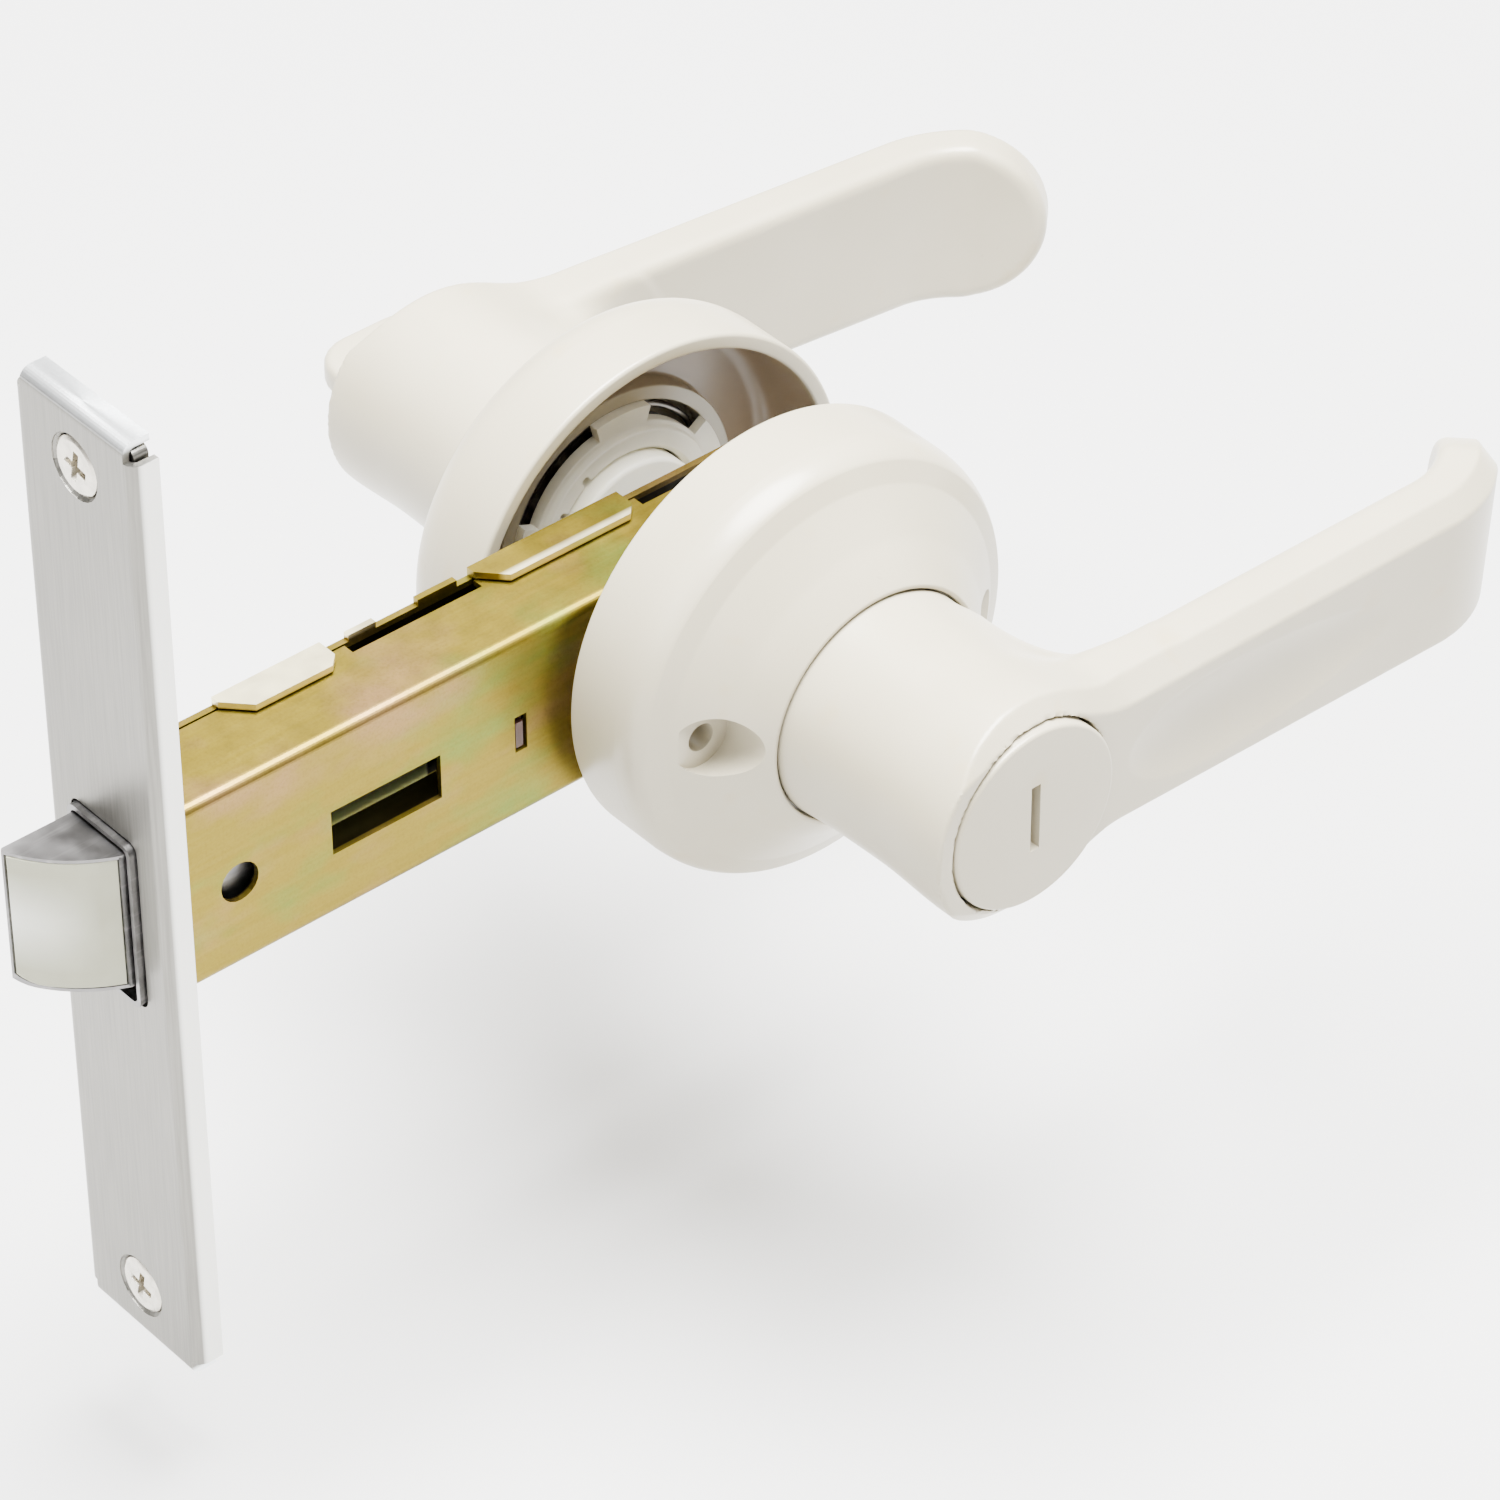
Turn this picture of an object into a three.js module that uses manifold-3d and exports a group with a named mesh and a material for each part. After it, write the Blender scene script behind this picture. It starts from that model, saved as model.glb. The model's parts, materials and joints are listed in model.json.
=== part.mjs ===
// Privacy lever handle set for an interior door: mortise latch, two roses, two levers,
// a coin-slot disc outside and a thumb turn inside.
// Millimetres, +Z up. The origin is where the spindle axis (Y) crosses the middle of the case.
// -X points at the faceplate and the door edge, -Y at the outer side, +Y at the inner side.
import * as THREE from 'three';
import { mergeVertices } from 'three/addons/utils/BufferGeometryUtils.js';
import Module from 'manifold-3d';

const wasm = await Module();
wasm.setup();

// ---- driving dimensions ----
const BACKSET = 100;          // spindle axis to the front of the faceplate
const GAP = 0.35;             // running clearance between neighbours
const SHEET = 1.0;            // thickness of the bent sheet parts

const PLATE = { width: 24.6, height: 154, depth: 4.1, bend: 1.8, slit: 0.9 };
const FIXING = { thick: 2.2, corner: 1.2 };
const SCREW_HEIGHTS = [68, -68];
const SCREW = { headRadius: 4.3, shankRadius: 2, length: 6, sink: 2.4, drive: 1.1 };

const HOLE = { low: -14.8, high: 12.6, near: -7, far: 7, corner: 1.6 };
const COLLAR = { wall: 0.7, proud: 0.9, depth: 3.5 };
const BOLT = { throw: 12.2, half: 10.9, near: -5.5, far: 5.7, wall: 1, tail: -92 };
const SPRING_STOP = -72;       // collar on the latch tail that the bolt spring pushes from

const CASE = { half: 14.7, near: -7.55, far: 7.55, end: 19.5, bend: 1.4 };
const CASE_HOLE = { x: -84.9, z: -1, radius: 3 };
const CASE_WINDOW = { left: -70, right: -52, low: -4.6, high: 2.5 };
const CASE_SLOT = { left: -39.6, right: -37.6, low: -3.7, high: 2.1 };
// Along X: where the near half's top edge is cut back, where the far half's tabs fold over it,
// and where short teeth stand up beside it.
const CASE_CUTBACKS = { edge: 4.4, spans: [[-56.5, -35], [-7.5, 6]] };
const CASE_TABS = { spans: [[-77, -59.5], [-35, -9.5]], reach: 2.5, tail: 4.2, bite: 3.4 };
const CASE_TEETH = [[-55.5, -51], [-44, -37.5]];
const GUIDE = { long: 8, half: 7, tab: 1.2 };

const ROSE = {
  rim: 10.3, radius: 32.6, wall: 2.3, wallEnd: 19.6, floor: 22.8,
  faceRadius: 28.1, face: 25.6, neckRadius: 17.35, neck: 34.6, boreRadius: 14.2,
};
const RIB = { inner: 18.5, outer: 20.5, top: 19.3 };
const ROSE_SCREW = { x: -23.4, z: 1.8, recess: 4.6, hole: 2.1, seat: 26.2 };

const HUB = { radius: 16.2, root: 17, start: 34.0, bevel: 2.2 };
// How far each lever's front face stands out, and how its grip slants back toward the door.
const OUTER = { front: 64.5, slant: 3.3 };
const INNER = { front: 61.6, slant: 1.6 };
const NECK = { radius: 13.8, end: 20.2, groove: 12.6, grooveLow: 21.1, grooveHigh: 22.3 };
const PADDLE = {
  bendStart: 81.6, bendRadius: 23.6, bendAngle: 44, end: 9.7,
  rootHalf: 12, tipHalf: 13, rootThick: 9.6, tipThick: 8.6, round: 14,
};
// Rounding of the grip's long edges: [share of the thickness, share of the half height].
const PADDLE_EDGE = [[0, 0.72], [0.08, 0.86], [0.28, 1], [0.75, 1], [0.94, 0.88], [1, 0.7]];
const WEB = { radius: 17, reach: 18, squeeze: 0.24 };
const REST_SAG = 4.2;         // the levers rest this many degrees below level

const DISC = { radius: 13.8, recess: 14.15, deep: 5.5, proud: 0.9, slot: 10.4, slotWidth: 1.5 };
const KNOB = { collar: 9.5, thick: 4.6, tall: 14, radius: 10.2, round: 6.5 };
const SPINDLE = { side: 8, half: 50, bore: 2.9 };
const SHAFT = { wide: 5, thick: 1.6 };
const BUSH = { radius: 11.6, top: 14.9 };
const COVER = {
  radius: 15.4, lobe: 18.1, bore: 11.95, top: 17.3, thick: 1.6, step: 0.9,
  lobes: [20, 110, 200, 290], spread: 24, keyways: [128, 152],
};
const FOLLOWER = { radius: 8, arm: 11.6, armWidth: 6 };
const TAIL = { thick: 2, half: 2.4, rise: -24, limb: 12.3, hook: 4.5, collar: 5, hang: 8.6 };
const BOLT_SPRING = { radius: 3.6, wire: 0.9, turns: 6, end: 0.9 };
const RETURN_SPRING = { radius: 16.9, wire: 0.9, turns: 1.9, out: 20.7, pitch: 1.3 };
const RING = { radius: 15.4, gap: 6 };

// ---- finishes ----
const finish = (color, roughness, metalness) =>
  new THREE.MeshStandardMaterial({ color, roughness, metalness });
const IVORY = finish(0xece9e2, 0.3, 0);
const STAINLESS = finish(0xcdcbc8, 0.35, 1);
const ZINC = finish(0x9a9a98, 0.4, 1);
const CHROMATE = finish(0xc8b478, 0.35, 0.9);
const NYLON = finish(0xdedede, 0.45, 0);
const NICKEL = finish(0xd8d4c8, 0.25, 1);
const SPRING = finish(0x6e6a66, 0.35, 1);

// ---- solids: join and cut ----
function toSolid(geometry) {
  const bare = geometry.clone();
  bare.deleteAttribute('normal');
  bare.deleteAttribute('uv');
  const merged = mergeVertices(bare, 1e-4);
  const vertProperties = new Float32Array(merged.attributes.position.array);
  const triVerts = new Uint32Array(merged.index.array);
  if (signedVolume(vertProperties, triVerts) < 0) {
    for (let i = 0; i < triVerts.length; i += 3) {
      [triVerts[i], triVerts[i + 1]] = [triVerts[i + 1], triVerts[i]];
    }
  }
  return new wasm.Manifold(new wasm.Mesh({ numProp: 3, vertProperties, triVerts }));
}

function signedVolume(points, triangles) {
  const corner = (i) => new THREE.Vector3().fromArray(points, triangles[i] * 3);
  let sum = 0;
  for (let i = 0; i < triangles.length; i += 3) {
    sum += corner(i).dot(corner(i + 1).cross(corner(i + 2)));
  }
  return sum / 6;
}

function toGeometry(solid) {
  const mesh = solid.getMesh();
  const geometry = new THREE.BufferGeometry();
  geometry.setAttribute('position', new THREE.BufferAttribute(mesh.vertProperties, 3));
  geometry.setIndex(new THREE.BufferAttribute(mesh.triVerts, 1));
  return geometry;
}

const join = (...solids) => solids.reduce((all, next) => all.add(next));
const cut = (body, ...tools) => tools.reduce((rest, tool) => rest.subtract(tool), body);

// ---- basic shapes, all returned as solids ----
function box(x0, x1, y0, y1, z0, z1) {
  const geometry = new THREE.BoxGeometry(x1 - x0, y1 - y0, z1 - z0);
  geometry.translate((x0 + x1) / 2, (y0 + y1) / 2, (z0 + z1) / 2);
  return toSolid(geometry);
}

function roundedRect(a0, a1, b0, b1, r) {
  const shape = new THREE.Shape();
  shape.moveTo(a0 + r, b0);
  shape.lineTo(a1 - r, b0);
  shape.absarc(a1 - r, b0 + r, r, -Math.PI / 2, 0);
  shape.absarc(a1 - r, b1 - r, r, 0, Math.PI / 2);
  shape.absarc(a0 + r, b1 - r, r, Math.PI / 2, Math.PI);
  shape.absarc(a0 + r, b0 + r, r, Math.PI, 1.5 * Math.PI);
  return shape;
}

function polygon(points) {
  return new THREE.Shape(points.map(([a, b]) => new THREE.Vector2(a, b)));
}

function extrude(shape, depth, curveSegments) {
  return new THREE.ExtrudeGeometry(shape, { depth, curveSegments, bevelEnabled: false });
}

// A shape drawn in (x, y), standing from z0 to z1.
function alongZ(shape, z0, z1, curveSegments = 4) {
  return toSolid(extrude(shape, z1 - z0, curveSegments).translate(0, 0, z0));
}

// A shape drawn in (y, z), standing from x0 to x1.
function alongX(shape, x0, x1, curveSegments = 4) {
  const turn = new THREE.Matrix4().makeBasis(
    new THREE.Vector3(0, 1, 0), new THREE.Vector3(0, 0, 1), new THREE.Vector3(1, 0, 0));
  return toSolid(extrude(shape, x1 - x0, curveSegments).applyMatrix4(turn).translate(x0, 0, 0));
}

// A shape drawn in (x, z), standing from y0 to y1.
function alongY(shape, y0, y1, curveSegments = 4) {
  return toSolid(extrude(shape, y1 - y0, curveSegments).rotateX(Math.PI / 2).translate(0, y1, 0));
}

// A body turned about Y. The profile lists [radius, distance out from the case], and distance
// runs along -Y, so every turned piece is drawn for the outer side.
function turned(profile, segments = 36) {
  const points = profile.map(([r, out]) => new THREE.Vector2(r, -out));
  return toSolid(new THREE.LatheGeometry(points, segments));
}

function rod(radius, out0, out1, x = 0, z = 0, segments = 24) {
  const geometry = new THREE.CylinderGeometry(radius, radius, out1 - out0, segments);
  return toSolid(geometry.translate(x, -(out0 + out1) / 2, z));
}

// A skin over rings of equal point count, closed at both ends.
function loft(rings) {
  const count = rings[0].length;
  const points = [...rings.flat(), centre(rings[0]), centre(rings[rings.length - 1])];
  const first = points.length - 2;
  const index = [];
  for (let k = 0; k < count; k += 1) {
    const next = (k + 1) % count;
    for (let ring = 0; ring < rings.length - 1; ring += 1) {
      const low = ring * count;
      const high = low + count;
      index.push(low + k, low + next, high + next, low + k, high + next, high + k);
    }
    const last = (rings.length - 1) * count;
    index.push(first, next, k, first + 1, last + k, last + next);
  }
  const geometry = new THREE.BufferGeometry().setFromPoints(points);
  geometry.setIndex(index);
  return toSolid(geometry);
}

function centre(ring) {
  const sum = ring.reduce((total, point) => total.add(point), new THREE.Vector3());
  return sum.divideScalar(ring.length);
}

class Helix extends THREE.Curve {
  constructor(place, turns) {
    super();
    this.place = place;
    this.turns = turns;
  }

  getPoint(t, target = new THREE.Vector3()) {
    return target.copy(this.place(2 * Math.PI * this.turns * t, t));
  }
}

function coil(place, turns, wire, stepsPerTurn, sides) {
  const section = new THREE.Shape().absarc(0, 0, wire / 2, 0, 2 * Math.PI);
  const options = {
    extrudePath: new Helix(place, turns), steps: Math.round(turns * stepsPerTurn),
    curveSegments: sides, bevelEnabled: false,
  };
  return toSolid(new THREE.ExtrudeGeometry(section, options));
}

const degrees = (value) => value * Math.PI / 180;

// ---- nodes ----
const handle = new THREE.Group();
const outerSide = new THREE.Group();
const innerSide = new THREE.Group();
innerSide.rotation.x = Math.PI;
handle.add(outerSide, innerSide);

function place(parent, name, solid, material) {
  const mesh = new THREE.Mesh(toGeometry(solid), material);
  mesh.name = name;
  parent.add(mesh);
  return mesh;
}

// ---- faceplate, fixing plate and their screws ----
const plateBack = -BACKSET + SHEET;

// Half of a bent edge seen end-on: a front sheet with a leg turned back on each side.
function channelProfile(half) {
  const r = PLATE.bend;
  const shape = new THREE.Shape();
  shape.moveTo(PLATE.depth, -half);
  shape.lineTo(r, -half);
  shape.absarc(r, -half + r, r, 1.5 * Math.PI, Math.PI, true);
  shape.lineTo(0, half - r);
  shape.absarc(r, half - r, r, Math.PI, Math.PI / 2, true);
  shape.lineTo(PLATE.depth, half);
  shape.lineTo(PLATE.depth, half - SHEET);
  shape.lineTo(r, half - SHEET);
  shape.absarc(r, half - r, r - SHEET, Math.PI / 2, Math.PI);
  shape.lineTo(SHEET, -half + r);
  shape.absarc(r, -half + r, r - SHEET, Math.PI, 1.5 * Math.PI);
  shape.lineTo(PLATE.depth, -half + SHEET);
  return shape;
}

function faceplate() {
  const halfWidth = PLATE.width / 2;
  const halfHeight = PLATE.height / 2;
  const sides = alongZ(channelProfile(halfWidth), -halfHeight + PLATE.bend + PLATE.slit,
    halfHeight - PLATE.bend - PLATE.slit).translate(-BACKSET, 0, 0);
  const reach = halfWidth - PLATE.bend;
  const ends = alongY(channelProfile(halfHeight), -reach, reach).translate(-BACKSET, 0, 0);
  const openings = [latchOpening(-BACKSET - 1, plateBack + 1)];
  for (const z of SCREW_HEIGHTS) {
    openings.push(screwBore(z));
  }
  return cut(join(sides, ends), ...openings);
}

function latchOpening(x0, x1) {
  return alongX(roundedRect(HOLE.near, HOLE.far, HOLE.low, HOLE.high, HOLE.corner), x0, x1);
}

// A turned body lying along X, listed as [radius, x].
function turnedAlongX(profile, z, segments = 24) {
  const points = profile.map(([r, x]) => new THREE.Vector2(r, x));
  const geometry = new THREE.LatheGeometry(points, segments);
  return toSolid(geometry.rotateZ(-Math.PI / 2).translate(0, 0, z));
}

function screwBore(z) {
  const head = SCREW.headRadius + GAP;
  const shank = SCREW.shankRadius + GAP;
  const front = -BACKSET - 0.5;
  return turnedAlongX([[0, front], [head + 0.2, front], [head, -BACKSET + 0.2],
    [shank, -BACKSET + SCREW.sink], [shank, -BACKSET + 8], [0, -BACKSET + 8]], z);
}

function faceplateScrew(z) {
  const front = -BACKSET + 0.05;
  const body = turnedAlongX([[0, front], [SCREW.headRadius, front + 0.15],
    [SCREW.shankRadius, -BACKSET + SCREW.sink + GAP], [SCREW.shankRadius, front + SCREW.length - 0.5],
    [0, front + SCREW.length]], z);
  const arm = 2.2;
  const slotHalf = SCREW.drive / 2;
  const cross = join(
    box(front - 1, front + 1.2, -arm, arm, z - slotHalf, z + slotHalf),
    box(front - 1, front + 1.2, -slotHalf, slotHalf, z - arm, z + arm));
  return cut(body, cross);
}

function fixingPlate() {
  const half = PLATE.width / 2 - SHEET - GAP;
  const tall = PLATE.height / 2 - SHEET - GAP;
  const front = plateBack + GAP;
  const outline = roundedRect(-half, half, -tall, tall, FIXING.corner);
  const plate = alongX(outline, front, front + FIXING.thick);
  const caseWay = box(front - 1, front + 4, CASE.near - GAP, CASE.far + GAP,
    -CASE.half - GAP, CASE.half + GAP);
  return cut(plate, caseWay, ...SCREW_HEIGHTS.map(screwBore));
}

place(handle, 'faceplate', faceplate(), STAINLESS);
place(handle, 'fixing_plate', fixingPlate(), ZINC);
place(handle, 'faceplate_screw_top', faceplateScrew(SCREW_HEIGHTS[0]), NICKEL);
place(handle, 'faceplate_screw_bottom', faceplateScrew(SCREW_HEIGHTS[1]), NICKEL);

// ---- latch: collar, bolt shell, nylon nose, spring and tail ----
function boltCollar() {
  const { wall, proud, depth } = COLLAR;
  const ring = (inset) => roundedRect(HOLE.near + inset, HOLE.far - inset, HOLE.low + inset,
    HOLE.high - inset, HOLE.corner - inset / 2);
  const outer = alongX(ring(GAP), -BACKSET - proud, -BACKSET + depth);
  return cut(outer, alongX(ring(GAP + wall), -BACKSET - proud - 1, -BACKSET + depth + 1));
}

// Plan outline of the bolt: square at the tail, one curved bevel on the outer side.
function boltOutline(near, far, inset, tail) {
  const tip = -BACKSET - BOLT.throw + inset;
  const shape = new THREE.Shape();
  shape.moveTo(tail, near);
  shape.lineTo(-BACKSET - 1.2, near);
  shape.quadraticCurveTo(tip + 2.4, near + 2.6, tip, far - 0.4);
  shape.lineTo(tip + 0.4, far);
  shape.lineTo(tail, far);
  return shape;
}

function boltShell() {
  const outline = boltOutline(BOLT.near, BOLT.far, 0, BOLT.tail);
  const block = alongZ(outline, -BOLT.half, BOLT.half, 8);
  const hollowHalf = BOLT.half - BOLT.wall;
  const hollow = box(-BACKSET - BOLT.throw - 1, BOLT.tail - 1.6, BOLT.near - 1,
    BOLT.far - BOLT.wall, -hollowHalf, hollowHalf);
  const neckHole = box(BOLT.tail - 3, BOLT.tail + 1, -TAIL.thick / 2 - GAP, TAIL.thick / 2 + GAP,
    -TAIL.half - GAP, TAIL.half + GAP);
  return cut(block, hollow, neckHole);
}

function boltNose() {
  const far = BOLT.far - BOLT.wall - GAP;
  const half = BOLT.half - BOLT.wall - GAP;
  return alongZ(boltOutline(BOLT.near, far, 0.6, -BACKSET + 3), -half, half, 8);
}

function latchTail() {
  const { thick, half, rise, limb, hook, collar, hang } = TAIL;
  const start = -BACKSET + 3.6;
  const stop = SPRING_STOP;
  const outline = polygon([
    [start, -half], [stop, -half], [stop, -collar], [stop + 2, -collar],
    [stop + 2, -half], [rise + 3, -half], [rise + 3, limb],
    [hook, limb], [hook, hang], [hook + 1.6, hang],
    [hook + 1.6, limb + 1], [rise, limb + 1], [rise, half],
    [stop + 2, half], [stop + 2, collar], [stop, collar], [stop, half],
    [start, half],
  ]);
  return alongY(outline, -thick / 2, thick / 2);
}

function boltSpring() {
  const { radius, wire, turns, end } = BOLT_SPRING;
  const from = BOLT.tail + end;
  const length = SPRING_STOP - end - from;
  return coil((angle, t) => new THREE.Vector3(from + length * t,
    radius * Math.cos(angle), radius * Math.sin(angle)), turns, wire, 9, 2);
}

place(handle, 'bolt_collar', boltCollar(), ZINC);
place(handle, 'latch_bolt_shell', boltShell(), ZINC);
place(handle, 'latch_bolt_nose', boltNose(), NYLON);
place(handle, 'latch_tail', latchTail(), ZINC);
place(handle, 'latch_spring', boltSpring(), SPRING);

// ---- case: bent near half, flat far half, guide block ----
const caseFront = plateBack + GAP + FIXING.thick + GAP;

function caseOpenings(y0, y1) {
  const { x, z, radius } = CASE_HOLE;
  return [
    rod(radius, -y1, -y0, x, z, 20),
    rod(FOLLOWER.radius + GAP, -y1, -y0),
    box(CASE_WINDOW.left, CASE_WINDOW.right, y0, y1, CASE_WINDOW.low, CASE_WINDOW.high),
    box(CASE_SLOT.left, CASE_SLOT.right, y0, y1, CASE_SLOT.low, CASE_SLOT.high),
  ];
}

// The near half is a channel: a side wall and two flanges reaching toward the far half.
function caseNearHalf() {
  const { near, far, half, bend, end } = CASE;
  const flangeEdge = far - SHEET - GAP;
  const outline = new THREE.Shape();
  outline.moveTo(flangeEdge, half);
  outline.lineTo(near + bend, half);
  outline.absarc(near + bend, half - bend, bend, Math.PI / 2, Math.PI);
  outline.lineTo(near, -half + bend);
  outline.absarc(near + bend, -half + bend, bend, Math.PI, 1.5 * Math.PI);
  outline.lineTo(flangeEdge, -half);
  outline.lineTo(flangeEdge, -half + SHEET);
  outline.lineTo(near + bend, -half + SHEET);
  outline.absarc(near + bend, -half + bend, bend - SHEET, 1.5 * Math.PI, Math.PI, true);
  outline.lineTo(near + SHEET, half - bend);
  outline.absarc(near + bend, half - bend, bend - SHEET, Math.PI, Math.PI / 2, true);
  outline.lineTo(flangeEdge, half - SHEET);
  const channel = alongX(outline, caseFront, end);
  const cutbacks = CASE_CUTBACKS.spans.map(([left, right]) => (
    box(left, right, CASE_CUTBACKS.edge, far, half - 3, half + 1)));
  return cut(channel, ...cutbacks, ...caseOpenings(near - 1, near + 2));
}

// The far half is a flat plate whose edge tabs fold over the near half's flanges.
function caseFarHalf() {
  const { far, half, end } = CASE;
  const inner = far - SHEET;
  const plate = box(caseFront, end, inner, far, -half, half);
  const solids = [plate];
  for (const side of [1, -1]) {
    for (const [left, right] of CASE_TABS.spans) {
      solids.push(foldedTab(left, right, side));
    }
  }
  for (const [left, right] of CASE_TEETH) {
    solids.push(box(left, right, inner, far, half - 0.5, half + SHEET));
  }
  return cut(join(...solids), ...caseOpenings(inner - 1, far + 1));
}

function foldedTab(left, right, side) {
  const low = CASE.half + GAP;
  const high = low + SHEET;
  const { reach, tail, bite } = CASE_TABS;
  const outline = polygon([[left, CASE.far], [left, CASE.far - 1.4], [left + bite, reach],
    [right - bite / 2, reach], [right, tail], [right, CASE.far]]);
  const z0 = side > 0 ? low : -high;
  const root = side > 0 ? [CASE.half - 0.5, high] : [-high, -CASE.half + 0.5];
  return join(alongZ(outline, z0, z0 + SHEET),
    box(left, right, CASE.far - SHEET, CASE.far, root[0], root[1]));
}

function guideBlock() {
  const wide = CASE.far - SHEET - GAP;
  const mid = (CASE_SLOT.left + CASE_SLOT.right) / 2;
  const { long, half, tab } = GUIDE;
  const block = box(mid - long / 2, mid + long / 2, -wide + 0.1, wide, -half, half);
  const pegs = box(mid - tab / 2, mid + tab / 2, -wide - 1, wide + 1, CASE_SLOT.low + GAP,
    CASE_SLOT.high - GAP - 1);
  const way = box(mid - long, mid + long, -TAIL.thick / 2 - GAP, TAIL.thick / 2 + GAP,
    -TAIL.half - GAP, TAIL.half + GAP);
  return cut(join(block, pegs), way);
}

place(handle, 'case_near_half', caseNearHalf(), CHROMATE);
place(handle, 'case_far_half', caseFarHalf(), CHROMATE);
place(handle, 'tail_guide_block', guideBlock(), NYLON);

// ---- roses and what sits inside them ----
function rose() {
  const { rim, radius, wall, wallEnd, floor, faceRadius, face, neckRadius, neck, boreRadius } = ROSE;
  const shoulder = [];
  const steps = 4;
  for (let i = 0; i <= steps; i += 1) {
    const a = degrees(90 * i / steps);
    shoulder.push([faceRadius + (radius - faceRadius) * Math.cos(a),
      wallEnd + (face - wallEnd) * Math.sin(a)]);
  }
  const inside = radius - wall;
  return cut(turned([
    [inside, rim + 0.4], [inside + 0.5, rim], [radius - 0.5, rim], [radius, rim + 0.5],
    ...shoulder,
    [faceRadius - 0.6, face + 0.2], [neckRadius + 5, neck - 4.1], [neckRadius + 0.6, neck],
    [neckRadius, neck - 0.4],
    [neckRadius, neck - 2], [boreRadius, neck - 2.4], [boreRadius, floor],
    [RIB.inner, floor], [RIB.inner, RIB.top], [RIB.outer, RIB.top], [RIB.outer, floor],
    [inside - 2, floor], [inside, floor - 3], [inside, rim + 0.4],
  ], 44), ...roseScrewWays());
}

function roseScrewWays() {
  const { x, z, recess, hole, seat } = ROSE_SCREW;
  return [1, -1].flatMap((side) => [
    rod(recess, seat, ROSE.neck + 2, side * x, side * z, 24),
    rod(hole, ROSE.rim, seat + 1, side * x, side * z, 16),
  ]);
}

function springCover() {
  const { radius, lobe, bore, top, thick, step, lobes, keyways } = COVER;
  const disc = turned([[bore, top + 0.6], [bore + 0.6, top], [radius - 1.4, top],
    [radius - 1.2, top + step], [radius, top + step], [radius, top + thick + step],
    [bore, top + thick + step], [bore, top + 0.6]]);
  const arms = lobes.map((angle) => coverLobe(lobe, angle, top + step, thick));
  const notches = keyways.map((angle) => {
    const way = box(bore - 1, bore + 2, -top - 4, -top + 1, -0.55, 0.55);
    return way.rotate([0, angle, 0]);
  });
  return cut(join(disc, ...arms), ...notches);
}

function coverLobe(reach, angle, top, thick) {
  const shape = new THREE.Shape();
  const spread = degrees(COVER.spread);
  shape.absarc(0, 0, reach, -spread, spread);
  shape.absarc(0, 0, COVER.radius - 0.6, spread, -spread, true);
  return alongY(shape, -top - thick, -top, 8).rotate([0, angle, 0]);
}

function returnSpring() {
  const { radius, wire, turns, out, pitch } = RETURN_SPRING;
  return coil((angle, t) => new THREE.Vector3(radius * Math.cos(angle), -out - pitch * t,
    radius * Math.sin(angle)), turns, wire, 20, 2);
}

function leverBush() {
  const { radius, top } = BUSH;
  const end = NECK.end - GAP;
  const body = turned([[0, top], [radius - 0.8, top], [radius, top + 0.8], [radius, end],
    [0, end]]);
  return cut(body, squareWay(top - 1, end + 1));
}

function squareWay(out0, out1) {
  const half = SPINDLE.side / 2 + GAP;
  return box(-half, half, -out1, -out0, -half, half);
}

function retainingRing() {
  const inner = NECK.groove + 0.3;
  const low = NECK.grooveLow + 0.2;
  const high = NECK.grooveHigh - 0.2;
  const ring = turned([[inner, low], [RING.radius, low], [RING.radius, high], [inner, high],
    [inner, low]], 32);
  return cut(ring, box(-RING.gap / 2, RING.gap / 2, -high - 1, -low + 1, -20, 0));
}

// ---- lever ----
// Point on the outer skin line of the paddle, its heading and how far along it lies.
function paddleStation(side, s) {
  const slant = degrees(side.slant);
  const bend = degrees(PADDLE.bendAngle);
  const straight = PADDLE.bendStart / Math.cos(slant);
  const arc = PADDLE.bendRadius * bend;
  const along = Math.min(s, straight);
  const turn = Math.min(Math.max(s - straight, 0), arc) / PADDLE.bendRadius;
  const past = Math.max(s - straight - arc, 0);
  const heading = slant + turn;
  const x = along * Math.cos(slant) + past * Math.cos(heading)
    + PADDLE.bendRadius * (Math.sin(heading) - Math.sin(slant));
  const out = side.front - along * Math.sin(slant) - past * Math.sin(heading)
    - PADDLE.bendRadius * (Math.cos(slant) - Math.cos(heading));
  return { x, out, heading, total: straight + arc + PADDLE.end };
}

function paddleRing(side, s) {
  const { x, out, heading, total } = paddleStation(side, s);
  const share = s / total;
  const thick = THREE.MathUtils.lerp(PADDLE.rootThick, PADDLE.tipThick, share);
  const past = Math.max(0, (s - total + PADDLE.round) / PADDLE.round);
  const half = THREE.MathUtils.lerp(PADDLE.rootHalf, PADDLE.tipHalf, share)
    * Math.sqrt(Math.max(0.01, 1 - past * past));
  const full = [...PADDLE_EDGE, ...PADDLE_EDGE.map(([u, v]) => [u, -v]).reverse()];
  const point = ([u, v]) => new THREE.Vector3(x - u * thick * Math.sin(heading),
    -(out - u * thick * Math.cos(heading)), v * half);
  return full.map(point);
}

function paddle(side) {
  const rings = [];
  const { total } = paddleStation(side, 0);
  const rounded = total - PADDLE.round;
  for (const s of [1, 30, 60, 80, 84.5, 89, 93.5]) {
    rings.push(paddleRing(side, s));
  }
  for (let i = 0; i <= 6; i += 1) {
    rings.push(paddleRing(side, rounded + PADDLE.round * Math.sin(degrees(15 * i))));
  }
  return loft(rings);
}

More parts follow.
